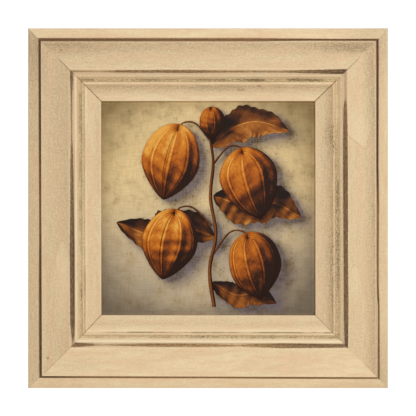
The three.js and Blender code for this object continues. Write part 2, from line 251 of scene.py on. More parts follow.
# Half the side of the map of 1 mm cells that shows where paint lies
MAP_HALF = 128

# The painting: its light comes from the upper left, and its soft shadows fall to the lower right.
# Each shadow pass is a spread, a shift in x and z, and a weight. Gaps in the map are filled before.
PAINTED_LIGHT = np.array([-0.5, 0.55, 0.67])
GAP_FILL = Sizes(spread=0.8, gain=1.6)
SHADOW_PASSES = [(2.2, 4.0, -3.0, 0.6), (6.0, 13.0, -9.0, 0.9)]

# Soft dents in the motifs: waves in random directions, with pitches as shares of the size asked for
CRUMPLE = Sizes(waves=10, pitch=(0.6, 1.8), full_height=6)

# Seed cases: where the stalk enters, tilt in degrees, width, length and age from 0, fresh, to 1, brown
LANTERNS = [
    ((-34, 88), -14, 68, 80, 0.0),
    ((40, 62), 13, 66, 76, 0.45),
    ((-38, -8), -10, 62, 74, 0.2),
    ((46, -34), 16, 60, 70, 0.75),
    ((4, 112), 4, 30, 34, 0.9),
]
# A seed case's form: points round and down it, powers of its outline at the stalk and at the tip, ribs all
# round, shares of its size, seeds of its random draws and strokes, and how far its paint stands off
HUSK = Sizes(around=81, rows=91, shoulder=0.55, tip=0.8, ribs=10, rib_depth=0.07, ripple=0.03, ripples=9)
HUSK_SHARES = Sizes(sway=0.1, sag=0.1, fullness=0.8, dents=0.02, dent_size=0.3)
HUSK_SEEDS = Sizes(sway=40, dents=60, strokes=7.3)
HUSK_LIFT = Sizes(first=0.85, more=0.06, belly=0.9, rib=0.25)
# Stalks, as points along each and widths along it
MAIN_WIDTHS = [4.4, 4.0, 3.8, 3.6, 3.2, 2.6, 2.0]
SIDE_WIDTHS = [2.2, 1.9, 1.7, 2.0]
STALKS = [
    ([(7, -112), (2, -70), (9, -30), (3, 12), (6, 52), (2, 84), (4, 108)], MAIN_WIDTHS),
    ([(2, 78), (-14, 96), (-28, 97), (-34, 88)], SIDE_WIDTHS),
    ([(6, 50), (22, 69), (35, 70), (40, 62)], SIDE_WIDTHS),
    ([(4, -20), (-16, 0), (-31, 1), (-38, -8)], SIDE_WIDTHS),
    ([(6, -52), (24, -28), (39, -26), (46, -34)], SIDE_WIDTHS),
]
STEM = Sizes(per_point=24, sides=9, uneven=0.12, age=0.5, seed=30)
STEM_LIFT = Sizes(first=0.6, belly=0.25)
# Leaves, as points along the midrib, width, and age
LEAVES = [
    ([(6, 14), (40, 4), (74, 6), (106, -10)], 44, 0.35),
    ([(3, 70), (30, 92), (58, 98), (92, 88)], 36, 0.2),
    ([(8, -32), (-30, -22), (-64, -30), (-104, -16)], 44, 0.45),
    ([(4, -84), (30, -98), (54, -98), (78, -108)], 26, 0.5),
]
# A leaf's form, given in the same way
BLADE = Sizes(rows=121, across=57, base=0.75, tip=0.85, wave=0.1, teeth=13, tooth=0.1)
BLADE_SHARES = Sizes(sweep=0.12, curl=0.16, ruffle=0.05, dents=0.035)
BLADE_DENT = 16
BLADE_SEEDS = Sizes(edge=80, dents=90, strokes=5.1)
BLADE_LIFT = Sizes(first=0.15, more=0.05, midrib=0.25)

# A bumper's section from its foot: share of the radius, share of the thickness
BUMPER_PROFILE = [
    (0, 0), (0.99, 0), (1.0, 0.02), (0.985, 0.45), (0.95, 0.78), (0.86, 0.95), (0.72, 1.0),
    (0.58, 0.985), (0.46, 0.9), (0.25, 0.84), (0, 0.82),
]
BUMPER_SIDES = 40
# Widths of the rounded edges on the fittings, and the angle in radians past which an edge is rounded
EASE = Sizes(bar=0.5, clip=0.2, screw=0.2, nail=0.2, staple=0.15, hanger=0.15, angle=0.6)

# The stage in metres: lamps as place from the wall behind the frame's middle and power, each a disk
FLOOR = Sizes(half=1.6, drop=0.35)
LAMPS = {"key": ((0.3, -1.5, 0.42), 15), "behind": ((-0.7, 1.5, 0.6), 17)}
LAMP_SIZE = 1.0
# The strength of the white surroundings as light and as the camera sees them
SURROUNDINGS = Sizes(light=0.4, seen=1.05)
# The photograph in pixels: its side, the frame's width in it, and how far below its middle the frame's lies
IMAGE_SIDE = 416
EDGE_PIXELS = 359.9
DROP_PIXELS = 0.2
# The camera's lens and sensor
LENS = 120
SENSOR = 36


def srgb(red, green, blue):
    """A colour given as 0 to 255 screen values, as the linear values that shaders take."""
    linear = []
    for level in (red / 255, green / 255, blue / 255):
        linear.append(((level + 0.055) / 1.055) ** 2.4 if level > 0.04045 else level / 12.92)
    return (*linear, 1.0)


# Paints of the moulding
TINT = Sizes(
    peach=srgb(228, 196, 155),
    cream=srgb(234, 210, 168),
    figure=srgb(212, 180, 138),
    fibre=srgb(208, 182, 142),
    mottle=srgb(204, 178, 138),
    arch=srgb(240, 217, 176),
    arch_rim=srgb(190, 163, 122),
    # grey wash, also laid as painted shade
    wash=srgb(159, 133, 97),
    # painted highlight, where the wash falls below 0
    polish=srgb(243, 223, 186),
    thin_glaze=srgb(212, 189, 147),
    glaze=srgb(160, 137, 96),
    fleck=srgb(116, 97, 66),
    under_bead=srgb(120, 100, 68),
    quirk=srgb(146, 122, 84),
    # painted highlight for the arrises
    arris=srgb(240, 219, 182),
    # painted lightening for the riser, against its shade and bounced light
    riser=srgb(222, 206, 182),
    dirt=srgb(118, 98, 66),
    joint=srgb(116, 80, 44),
)
# Its stains, each as a pair of tones: golden where the stain is thin, umber where it is thick
GROOVE_GOLDEN = srgb(160, 124, 84), srgb(204, 166, 120)
GROOVE_UMBER = srgb(88, 65, 47), srgb(130, 100, 74)
STEP_GOLDEN = srgb(140, 108, 70), srgb(200, 164, 116)
STEP_UMBER = srgb(80, 62, 46), srgb(146, 116, 82)
# Colours of the painted motifs, from shade to light
HUSK_STOPS = [
    (0.0, srgb(36, 17, 8)),
    (0.2, srgb(82, 38, 12)),
    (0.38, srgb(130, 63, 16)),
    (0.56, srgb(172, 90, 20)),
    (0.76, srgb(198, 118, 32)),
    (0.95, srgb(222, 160, 70)),
]
LEAF_STOPS = [
    (0.0, srgb(30, 16, 9)),
    (0.25, srgb(62, 31, 13)),
    (0.5, srgb(108, 57, 19)),
    (0.72, srgb(148, 84, 28)),
    (0.95, srgb(196, 132, 60)),
]


# Shader building


class Value:
    """A number, colour or vector that a shader works out at each point, for use in sums."""

    def __init__(self, shader, socket):
        self.shader = shader
        self.socket = socket

    def __add__(self, other):
        return self.shader.math("ADD", self, other)

    def __sub__(self, other):
        return self.shader.math("SUBTRACT", self, other)

    def __rsub__(self, other):
        return self.shader.math("SUBTRACT", other, self)

    def __mul__(self, other):
        return self.shader.math("MULTIPLY", self, other)

    def __abs__(self):
        return self.shader.math("ABSOLUTE", self)

    def at_least(self, other):
        return self.shader.math("MAXIMUM", self, other)

    def fraction(self):
        return self.shader.math("FRACT", self)

    def sine(self):
        return self.shader.math("SINE", self)

    def step(self, low, high):
        """0 where the value is at low, 1 where it is at high, eased between."""
        inputs = {"Value": self, "From Min": low, "From Max": high}
        return self.shader.output(0, "MapRange", inputs, interpolation_type="SMOOTHSTEP")

    def between(self, low, high, soft):
        """1 where the value is from low to high, with soft ends."""
        return (self - low).step(-soft, soft) * (high - self).step(-soft, soft)

    def split(self):
        node = self.shader.node("SeparateXYZ", {0: self})
        return [Value(self.shader, socket) for socket in node.outputs]

    def scaled(self, scale):
        return self.shader.output(0, "VectorMath", {0: self, 1: scale}, operation="MULTIPLY")

    def noise(self, scale, detail=3.0, roughness=0.55, distortion=0.0):
        """Cloudy noise from 0 to 1 over a vector, scaled along each axis."""
        inputs = {"Vector": self.scaled(scale), "Scale": 1.0, "Detail": detail}
        inputs |= {"Roughness": roughness, "Distortion": distortion}
        return self.shader.output("Fac", "TexNoise", inputs)

    def cells(self, scale):
        """The distance to the nearest edge in a net of cells over a vector, scaled along each axis."""
        inputs = {"Vector": self.scaled(scale), "Scale": 1.0}
        return self.shader.output("Distance", "TexVoronoi", inputs, feature="DISTANCE_TO_EDGE")

    def ramp(self, stops):
        """The colour at this value among (position, colour) stops."""
        node = self.shader.node("ValToRGB", {0: self})
        elements = node.color_ramp.elements
        while len(elements) < len(stops):
            elements.new(0.5)
        for element, (position, color) in zip(elements, stops):
            element.position = position
            element.color = color
        return Value(self.shader, node.outputs[0])


class Shader:
    """A material under construction: paints are laid over its colour one by one."""

    def __init__(self, name, **constants):
        self.material = bpy.data.materials.new(name)
        self.material.use_nodes = True
        self.tree = self.material.node_tree
        self.surface = self.tree.nodes["Principled BSDF"]
        self.color = None
        for key, value in constants.items():
            self.surface.inputs[key.replace("_", " ")].default_value = value

    def node(self, kind, inputs, **settings):
        node = self.tree.nodes.new("ShaderNode" + kind)
        for key, value in settings.items():
            setattr(node, key, value)
        for key, value in inputs.items():
            self.put(node.inputs[key], value)
        return node

    def put(self, socket, value):
        if isinstance(value, Value):
            self.tree.links.new(value.socket, socket)
        else:
            socket.default_value = value

    def output(self, key, kind, inputs, **settings):
        """One output of a new node."""
        return Value(self, self.node(kind, inputs, **settings).outputs[key])

    def math(self, operation, *values):
        return self.output(0, "Math", dict(enumerate(values)), operation=operation)

    def attribute(self, name):
        return self.output("Vector", "Attribute", {}, attribute_name=name)

    def place(self):
        """The point on the object, in millimetres."""
        return self.output("Object", "TexCoord", {}).scaled([1 / MM] * 3)

    def joined(self, x, y, z=0.0):
        return self.output(0, "CombineXYZ", {0: x, 1: y, 2: z})

    def mix(self, factor, first, second, blend="MIX"):
        inputs = {0: factor, 6: first, 7: second}
        return self.output(2, "Mix", inputs, data_type="RGBA", blend_type=blend)

    def lay(self, amount, paint):
        """Lays a paint over the colour so far."""
        self.color = self.mix(amount, self.color, paint)

    def brighten(self, amount):
        """Multiplies the colour so far."""
        self.color = self.mix(1.0, self.color, self.joined(amount, amount, amount), "MULTIPLY")

    def bump(self, height, distance, strength, **more):
        """Surface relief whose height is the input times the distance, in millimetres."""
        inputs = {"Height": height, "Distance": distance * MM, "Strength": strength} | more
        return self.output(0, "Bump", inputs)

    def finish(self, roughness, **more):
        """The material, with the colour so far on its surface."""
        inputs = {"Base Color": self.color, "Roughness": roughness} | more
        for key, value in inputs.items():
            self.put(self.surface.inputs[key], value)
        return self.material


def pine(shader, grain, light, dark):
    """Bare softwood and its fibres: x of the grain vector runs along the fibres, y across them."""
    wander = grain.noise((0.0016, 0.012, 0.012), detail=1.0)
    _, across, _ = grain.split()
    rings = (across * 0.1 + wander * 3.6).fraction()
    ring = rings.step(0.15, 0.85) * wander.step(0.25, 0.6)
    fibre = grain.noise((0.03, 1.8, 1.8), detail=4.0)
    return shader.mix(ring * 0.4 + fibre * 0.55, light, dark), fibre


def rail_finish():
    """Cream paint rubbed back over a brown stain, with painted shade and highlights, on wood whose back is
    bare.
    """
    shader = Shader("rubbed_cream_paint", Specular_IOR_Level=0.3)
    along, across, mitre = shader.attribute("place").split()
    wash, bare, stain = shader.attribute("coat").split()
    groove_low, groove_high, girth = shader.attribute("groove_line").split()
    step_low, step_high, step_depth = shader.attribute("step_line").split()
    arch, arched, dirt = shader.attribute("figure").split()
    corner, quirk_glaze, _ = shader.attribute("joint").split()
    hollow_low, hollow_high, glazed = shader.attribute("glaze").split()

    grain = shader.joined(along, girth)
    streak = grain.noise((0.016, 0.11, 0))
    fibre = grain.noise((0.07, 1.4, 0))
    blotch = grain.noise((0.04, 0.07, 0), roughness=0.6)
    speckle = grain.noise((0.75, 0.95, 0), detail=2.0, roughness=0.7)
    mottle = grain.noise((0.42, 0.55, 0), roughness=0.75)
    flake = grain.noise((0.34, 0.55, 0), detail=2.0, roughness=0.6)
    wobble = (grain.noise((0.3, 0.3, 0)) - 0.5) * 1.3
    ragged = (speckle - 0.5) * 3.0
    edge = across + (wobble + ragged)

    # Paint: cream to peach in long streaks, with a faint cathedral figure showing through
    shader.color = shader.mix(streak.step(0.36, 0.64), TINT.peach, TINT.cream)
    wander = grain.noise((0.009, 0.028, 0), detail=2.0)
    rings = (girth * 0.1 + wander * 6.0).fraction()
    shader.lay(rings.step(0.55, 0.95) * blotch.step(0.42, 0.6) * 0.25, TINT.figure)
    shader.lay(fibre.step(0.45, 0.75) * 0.25, TINT.fibre)
    shader.lay(mottle.step(0.35, 0.75) * 0.4, TINT.mottle)
    shader.brighten(grain.noise((0.11, 0.2, 0), detail=2.0) * 0.18 + 0.91)

    # Arched figure: pale inside, with a thin darker rim
    shader.lay(arch.step(-0.05, 0.12) * arched * 0.5, TINT.arch)
    shader.lay(arch.between(-0.1, 0.05, 0.06) * arched * 0.3, TINT.arch_rim)

    # Grey wash and painted shade, speckled where it caught on the brush marks; below 0, a painted highlight
    # of pale cream
    catch = mottle * 0.5 + (fibre + streak) * 0.25
    shader.lay(wash.at_least(0.0) * catch.step(0.22, 0.76), TINT.wash)
    shader.lay((wash * -1.0).at_least(0.0), TINT.polish)

    # Glaze held in the hollow, ragged under the bead, and in the quirk beside the slip
    in_hollow = edge.between(hollow_low, hollow_high, 0.6)
    shader.lay(in_hollow * glazed, shader.mix(mottle.step(0.36, 0.62), TINT.thin_glaze, TINT.glaze))
    flecks = in_hollow * speckle.step(0.54, 0.6) * blotch.step(0.34, 0.52)
    shader.lay(flecks * glazed * 0.85, TINT.fleck)
    under_bead = edge.between(hollow_low, (hollow_low + hollow_high) * 0.5, 0.4)
    shader.lay(under_bead * blotch.step(0.44, 0.6) * glazed * 0.7, TINT.under_bead)
    in_quirk = across.between(FILLET.end - 0.4, SLIP.start + 0.2, 0.5)
    held = blotch.step(0.36, 0.6) * 0.45 + 0.2
    shader.lay(in_quirk * held * quirk_glaze, TINT.quirk)

    # Painted highlights along the arrises, where the light catches them
    arris = across.between(BAND.end - 1.6, BAND.end + 0.3, 0.6)
    arris = arris.at_least(across.between(BAND.start, BAND.start + 1.4, 0.5))
    arris = arris.at_least(across.between(RAIL_WIDTH - 1.6, RAIL_WIDTH + 1, 0.4))
    shader.lay(arris * 0.22, TINT.arris)

    # The riser beside the bead, painted paler and cooler to offset the shade and warm bounced light in its
    # recess
    shader.lay(across.between(RISER.end - 0.8, RISER.end + 1.6, 0.7) * 0.4, TINT.riser)

    # Ragged dirt
    chance = dirt + (flake - 0.5) * 2.1
    shader.lay(chance.step(0.48, 0.62) * 0.75, TINT.dirt)

    # Brown stain in the groove and rubbed through on the step
    tone = grain.noise((0.2, 0.55, 0), detail=5.0, roughness=0.75)
    light, dark = (shader.mix(tone.step(0.35, 0.75), *pair) for pair in (GROOVE_GOLDEN, GROOVE_UMBER))
    in_groove = (across + wobble * 0.35).between(groove_low, groove_high, 0.4)
    shader.lay(in_groove, shader.mix(stain, light, dark))
    light, dark = (shader.mix(tone.step(0.34, 0.7), *pair) for pair in (STEP_GOLDEN, STEP_UMBER))
    fuzzy = across + (wobble * 0.6 + ragged * 0.8)
    on_step = fuzzy.between(step_low, step_high, 0.35)
    shader.lay(on_step * step_depth, shader.mix(stain, light, dark))

    # Dirt in the mitre joints, broken in places
    broken = flake.step(0.4, 0.55) * 0.55 + 0.45
    shader.lay(mitre.step(1.05, 0.35) * corner * broken, TINT.joint)

    wood, _ = pine(shader, grain, srgb(226, 196, 150), srgb(198, 158, 110))
    shader.lay(bare, wood)
    relief = fibre * 0.6 + speckle * 0.35
    return shader.finish(speckle * 0.22 + 0.5, Normal=shader.bump(relief, 0.12, 0.8))


# Meshes


def to_row(x, height, z):
    """Millimetres in the frame's square as metres in the row frame."""
    return np.stack([x, BACK_Y - height, z + CENTRE_Z], axis=-1) * MM


def grid_faces(at):
    """Quads between the points of a grid of vertex numbers."""
    return np.stack([at[:-1, :-1], at[1:, :-1], at[1:, 1:], at[:-1, 1:]], axis=-1).reshape(-1, 4)


def ring_faces(rows, count):
    """Quads between closed rings of count points each."""
    at = np.arange(rows * count).reshape(rows, count)
    return grid_faces(np.concatenate([at, at[:, :1]], axis=1)).tolist()


def rim_of(at):
    """The vertex numbers round the rim of a grid, in order."""
    return np.concatenate([at[0], at[1:, -1], at[-1, -2::-1], at[-2:0:-1, 0]])


def linked(name, data):
    """A new object in the scene."""
    item = bpy.data.objects.new(name, data)
    bpy.context.scene.collection.objects.link(item)
    return item


def add_piece(name, mesh, materials):
    """A smooth object that rides with the frame."""
    for material in materials:
        mesh.materials.append(material)
    mesh.polygons.foreach_set("use_smooth", [True] * len(mesh.polygons))
    piece = linked(name, mesh)
    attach(piece, "root")
    return piece


def new_piece(name, vertices, faces, materials):
    mesh = bpy.data.meshes.new(name)
    mesh.from_pydata([tuple(map(float, vertex)) for vertex in vertices], [], faces)
    return add_piece(name, mesh, materials)


def set_attribute(piece, name, *values):
    """Stores three numbers at each vertex for the shaders."""
    rows = np.stack(np.broadcast_arrays(*values), axis=-1)
    attribute = piece.data.attributes.new(name, "FLOAT_VECTOR", "POINT")
    attribute.data.foreach_set("vector", rows.astype(np.float32).ravel())


@contextmanager
def editing(source, target):
    """One mesh for editing, put into another afterwards with its faces turned out."""
    shape = bmesh.new()
    shape.from_mesh(source)
    yield shape
    bmesh.ops.recalc_face_normals(shape, faces=shape.faces)
    shape.to_mesh(target)
    shape.free()


def turn_faces_out(piece, seams=False):
    """Turns the faces out, and joins points that coincide first where the piece has seams to close."""
    with editing(piece.data, piece.data) as shape:
        if seams:
            bmesh.ops.remove_doubles(shape, verts=shape.verts, dist=2e-6)
            bmesh.ops.dissolve_degenerate(shape, edges=shape.edges, dist=1e-7)


# The moulding


def curve(start, pull, end, count):
    """Points on a quadratic curve, without its end."""
    share = np.linspace(0, 1, count, endpoint=False)[:, None]
    return ((1 - share) ** 2 * start + 2 * share * (1 - share) * pull + share**2 * end).tolist()


def eased(corners):
    """The outline through points. One with a third number is cut by a short curve of about that radius."""
    points = []
    for index, (x, y, *radius) in enumerate(corners):
        if not radius:
            points.append([x, y])
            continue
        here = np.array([x, y])
        beside = corners[index - 1], corners[(index + 1) % len(corners)]
        arms = [np.array(corner[:2]) - here for corner in beside]
        lengths = [np.linalg.norm(arm) for arm in arms]
        cut = min(radius[0], EASED_SHARE * min(lengths))
        first, last = (here + arm / length * cut for arm, length in zip(arms, lengths))
        points += curve(first, here, last, 4) + [last.tolist()]
    return points


def moulding_outline():
    """The moulding's section, from the back of the outside edge over the front to the rebate."""
    band_pull = (BAND.start + BAND.end) / 2, (BAND.start_height + BAND.end_height) / 2 - 2 * BAND.hollow
    band = curve((BAND.start, BAND.start_height), band_pull, (BAND.end, BAND.end_height), 24)[1:]
    turn = np.linspace(math.pi, BEAD.last_turn, 13)
    bead = zip(BEAD.across + BEAD.radius * np.cos(turn), BEAD.height + BEAD.radius * np.sin(turn))
    hollow_pull = (HOLLOW.start + HOLLOW.end) / 2, HOLLOW.start_height - 2 * HOLLOW.depth
    hollow = curve((HOLLOW.start, HOLLOW.start_height), hollow_pull, (HOLLOW.end, FILLET.height), 10)
    slip_start = SLIP.start, SLIP.start_height
    slip = curve(slip_start, (SLIP.cove, SLIP.end_height), (RAIL_WIDTH - 1, SLIP.end_height), 14)[1:]
    rebate = RAIL_WIDTH - REBATE.width
    corners = [
        (0, 0, 0.5),
        (0, LIP.outer_height, 1.0),
        (LIP.width, LIP.inner_height, 0.4),
        (GROOVE.across, GROOVE.height, 0.2),
        (BAND.start, BAND.start_height, 0.6),
        *band,
        (BAND.end, BAND.end_height, 0.6),
        (RISER.end, RISER.end_height, 0.2),
        *bead,
        *hollow,
        (HOLLOW.end, FILLET.height, 0.35),
        (FILLET.end, FILLET.height, 0.35),
        (FILLET.end, FILLET.height - SLIP.quirk, 0.15),
        (*slip_start, 0.4),
        *slip,
        (RAIL_WIDTH, SLIP.end_height, SLIP.nose),
        (RAIL_WIDTH, REBATE.depth, 0.3),
        (rebate, REBATE.depth),
        (rebate, 0, 0.4),
    ]
    return np.array(eased(corners))


def eased_step(value):
    value = np.clip(value, 0, 1)
    return value * value * (3 - 2 * value)


def out_of_square(x, z):
    """Where a point of the true square lies in this frame, which is a little sheared between its edges."""
    inside = HALF - np.maximum(abs(x), abs(z))
    out = eased_step((inside - SKEW_OUT.start) / SKEW_OUT.run)
    fade = eased_step(inside / SKEW.fade_in) * (1 - SKEW_OUT.share * out)
    low = 0.5 - z / HALF / 2
    right = 0.5 + x / HALF / 2
    shift_x = SKEW.x + SKEW.x_low * low
    shift_z = SKEW.z + (SKEW.z_low + SKEW.z_low_right * right) * low
    wide = eased_step((inside - SIGHT_SPREAD.start) / SIGHT_SPREAD.run)
    spread = 1 + wide * SIGHT_SPREAD.out / (HALF - RAIL_WIDTH)
    return x * spread + fade * shift_x, z * spread + fade * shift_z + wide * SIGHT_SPREAD.up


def place_on(side, along):
    """Places from 0 to 1 along a rail, from millimetres from its middle in its own direction."""
    if side in ("top", "right"):
        along = -along
    return along / (2 * HALF) + 0.5


def patches(table, side, along, wide):
    """The sum of a rail's soft patches, each a bell curve about its middle."""
    total = np.zeros_like(along)
    for place, middle, length, width, amount in table[side]:
        run = (place_on(side, along) - place) * 2 * HALF
        total += amount * np.exp(-((run / length) ** 2) - ((wide - middle) / width) ** 2)
    return total


def arches(side, along, wide):
    """How far inside an arch of the figure each place is, in arch lengths, and how strong the arch is."""
    inside, strength = np.full_like(along, -1.0), np.zeros_like(along)
    on_band = eased_step((wide - BAND.start) / ARCH_FADE.outer)
    on_band = on_band * eased_step((BAND.end - wide) / ARCH_FADE.inner)
    for place, middle, length, outer, inner, bluntness, amount in ARCHES[side]:
        run = (place_on(side, along) - place) * 2 * HALF / length
        off = (wide - middle) / np.where(wide > middle, inner, outer)
        near = amount * on_band * eased_step(run + 1) * (1 - eased_step((run - 1) / ARCH_FADE.lengths))
        inside = np.where(near > strength, run - abs(off) ** bluntness, inside)
        strength = np.maximum(near, strength)
    return inside, strength


def joint_lines(side, along, wide):
    """How dark the joint line is at each place: by corner, on the band, the bead and the slip."""
    upright = side in ("left", "right")
    corners = ("top_" + side, "bottom_" + side) if upright else (side + "_left", side + "_right")
    at_first = place_on(side, along) < 0.5
    first, second = (CORNER_LINES[corner] for corner in corners)
    start, on_band, on_bead, on_slip = (np.where(at_first, *pair) for pair in zip(first, second))
    on_band = on_band * eased_step((wide - start) / CORNER_FADE)
    inside = np.where(wide < SLIP_LINE_START, on_bead, on_slip)
    return np.where(wide < RISER.end, on_band, inside)


def dented(side, along, wide, tall):
    """The heights of a rail's points, with small dents on its arrises."""
    chance = np.random.default_rng(QUARTER_TURNS[side] + DENTS.seed)
    for _ in range(DENTS.count):
        at = chance.uniform(-DENTS.reach, DENTS.reach)
        arris = chance.choice([0.5, BAND.start, BAND.end, RAIL_WIDTH - 0.5])
        size, depth = chance.uniform(*DENTS.size), chance.uniform(*DENTS.depth)
        near = np.exp(-(((along - at) / size / DENTS.length) ** 2) - ((wide - arris) / size) ** 2)
        tall = tall - depth * near * (tall > DENTS.above)
    return tall


def rail(side, material):
    outline = moulding_outline()
    across, height = outline.T
    opening = np.clip((across - MITRE.across) / MITRE.across_run, 0, 1)
    opening = opening * np.clip((height - MITRE.height) / MITRE.height_run, 0, 1)
    reach = HALF - across - MITRE.closed - MITRE.gap * math.sqrt(0.5) * opening
    even = np.linspace(-1, 1, STATIONS)
    stations = np.sin(even * math.pi / 2) * CROWDING + even * (1 - CROWDING)
    along = stations[:, None] * reach
    wide, tall = (np.broadcast_to(line, along.shape) for line in (across, height))
    tall = dented(side, along, wide, tall)

    x, z = along, wide - HALF
    for _ in range(QUARTER_TURNS[side]):
        x, z = z, -x
    x, z = out_of_square(x, z)
    count = len(across)
    faces = ring_faces(STATIONS, count)
    faces += [tuple(range(count)), tuple(range((STATIONS - 1) * count, STATIONS * count))]
    vertices = to_row(x, tall, z).reshape(-1, 3)
    piece = new_piece("painted_rail_" + side, vertices, faces, [material])
    turn_faces_out(piece)
    piece.data.set_sharp_from_angle(angle=RAIL_SHARP)
    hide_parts("rail_" + side)

    def here(table):
        """A table's values at the places along this rail."""
        return np.interp(place_on(side, along), [*table[side]], [*table[side].values()])

    set_attribute(piece, "place", along + GRAIN_SHIFT * QUARTER_TURNS[side], wide, reach - abs(along))
    girth = np.cumsum(np.hypot(*np.diff(outline, axis=0, prepend=outline[:1]).T))
    half_line = here(GROOVE_LINE) / 2
    middle = (LIP.width + BAND.start) / 2 + here(GROOVE_DRIFT)
    set_attribute(piece, "groove_line", middle - half_line, middle + half_line, girth)
    step = here(STEP_LINE)
    middle = (BAND.end + RISER.end + STEP_RUB.past_riser) / 2 + here(STEP_DRIFT)
    depth = np.clip(step / STEP_RUB.full, STEP_RUB.least, 1.0)
    set_attribute(piece, "step_line", middle - step / 2, middle + step / 2, depth)
    # Grey wash and painted shade on each member, and painted highlight where this falls below 0
    wash = np.interp(wide, WASH_AND_SHADE["across"], WASH_AND_SHADE[side]) + patches(WASH_AND_LIGHT_PATCHES, side, along, wide)
    in_rebate = (tall < REBATE.depth + BARE.past_rebate) & (wide > BARE.inside)
    stain = np.where(wide < STAIN_CHANGE, here(GROOVE_STAIN), here(STEP_STAIN))
    set_attribute(piece, "coat", wash, (tall < BARE.back) | in_rebate, stain)
    set_attribute(piece, "figure", *arches(side, along, wide), patches(DIRT, side, along, wide))
    set_attribute(piece, "joint", joint_lines(side, along, wide), here(QUIRK_GLAZE), 0)
    set_attribute(piece, "glaze", *HOLLOW_EDGES[side], here(HOLLOW_GLAZE))


# The painting


def stamp(cover, x, z):
    """Marks on the map where paint lies, from points no more than about 1 mm apart."""
    edges = np.arange(-MAP_HALF, MAP_HALF + 1)
    counts, _, _ = np.histogram2d(x.ravel(), z.ravel(), bins=(edges, edges))
    return np.maximum(cover, counts > 0)


def blurred(cover, spread):
    """The map softened by a bell curve of that spread in millimetres."""
    reach = np.arange(-int(3 * spread), int(3 * spread) + 1)
    bell = np.exp(-0.5 * (reach / spread) ** 2)
    bell /= bell.sum()
    for axis in (0, 1):
        cover = np.apply_along_axis(np.convolve, axis, cover, bell, "same")
    return cover


def painted_shadow(cover, x, z):
    """How dark the painter's shadow is at each place, thrown to the lower right by what the map shows."""
    filled = np.clip(blurred(cover.astype(float), GAP_FILL.spread) * GAP_FILL.gain, 0, 1)
    dark = np.zeros_like(x)
    for spread, shift_x, shift_z, weight in SHADOW_PASSES:
        soft = blurred(filled, spread)
        places = np.stack([x - shift_x, z - shift_z]) + MAP_HALF
        column, row = np.clip(places, 0, 2 * MAP_HALF - 1).astype(int)
        dark = dark + weight * soft[column, row]
    return np.clip(dark, 0, 1)


def painted_light(x, z, form):
    """Light from the upper left on a form in the painting, from 0 to 1, on a grid of its points."""
    points = np.stack([x, z, form], axis=-1)
    normal = np.cross(np.gradient(points, axis=1), np.gradient(points, axis=0))
    normal = normal / np.maximum(np.linalg.norm(normal, axis=-1, keepdims=True), 1e-9)
    normal *= np.sign(normal[..., 2:] + 1e-9)
    return np.clip(normal @ PAINTED_LIGHT, 0, 1)


def crumple(x, z, seed, size):
    """Soft random dents of about that size, from about -1 to 1."""
    chance = np.random.default_rng(seed)
    dents = np.zeros_like(x)
    for _ in range(CRUMPLE.waves):
        heading, phase = chance.uniform(0, 2 * math.pi, 2)
        pitch = size * chance.uniform(*CRUMPLE.pitch)
        dents += np.sin((x * math.cos(heading) + z * math.sin(heading)) * 2 * math.pi / pitch + phase)
    return dents / CRUMPLE.full_height


def paint_layer(name, material, cover, x, z, height, where, light, age):
    """A closed skin of thick paint over a grid of points, that high off the canvas.

    The map shows what shades it, and comes back with this layer marked on it. Where is the place on the
    motif that its strokes and veins follow.
    """
    front = to_row(x, CANVAS_FRONT + height, z).reshape(-1, 3)
    back = to_row(x, np.full_like(x, CANVAS_FRONT - PAINT_SUNK), z).reshape(-1, 3)
    at = np.arange(x.size).reshape(x.shape)
    quads, rim = grid_faces(at), rim_of(at)
    ahead = np.roll(rim, -1)
    wall = np.stack([rim, ahead, ahead + x.size, rim + x.size], axis=-1)
    faces = np.concatenate([quads, quads[:, ::-1] + x.size, wall]).tolist()
    piece = new_piece(name, np.concatenate([front, back]), faces, [material])
    tone = light, age, painted_shadow(cover, x, z)
    for key, values in (("where", where), ("tone", tone)):
        set_attribute(piece, key, *(np.tile(np.broadcast_to(value, x.shape).ravel(), 2) for value in values))
    turn_faces_out(piece, seams=True)
    return stamp(cover, x, z)


def lantern(index, top, tilt, width, length, age):
    """A ribbed papery seed case, painted as if lying on the ground."""
    half_turn = np.linspace(-math.pi / 2, math.pi / 2, HUSK.around)
    turn, fall = np.meshgrid(half_turn, np.linspace(0, 1, HUSK.rows))
    girth = fall**HUSK.shoulder * (1 - fall) ** HUSK.tip
    girth = girth / girth.max() * width / 2
    phase = 0.25 + 0.5 * index
    rib = np.sin(HUSK.ribs / 2 * turn + phase) ** 2
    ribs = 1 - HUSK.rib_depth * rib
    sway = np.random.default_rng(index + HUSK_SEEDS.sway).uniform(-1, 1, 3)
    ripple = 1 + HUSK.ripple * np.sin(HUSK.ripples * fall + 6 * sway[0])
    across = girth * np.sin(turn) * ribs * ripple + HUSK_SHARES.sway * width * sway[1] * fall**3
    down = length * (fall - HUSK_SHARES.sag * (1 - fall) ** 3 * np.sin(turn) ** 2)
    dents = crumple(across, down, index + HUSK_SEEDS.dents, width * HUSK_SHARES.dent_size)
    form = girth * np.cos(turn) * ribs * HUSK_SHARES.fullness + dents * width * HUSK_SHARES.dents
    cosine, sine = math.cos(math.radians(tilt)), math.sin(math.radians(tilt))
    x = top[0] + across * cosine + down * sine
    z = top[1] + across * sine - down * cosine
    height = HUSK_LIFT.first + HUSK_LIFT.more * index
    height = height + HUSK_LIFT.belly * form / width + HUSK_LIFT.rib * (1 - rib) * np.cos(turn)
    where = turn * HUSK.ribs / (2 * math.pi) + phase / math.pi, fall, index * HUSK_SEEDS.strokes
    return x, z, height, where, painted_light(across, -down, form), age


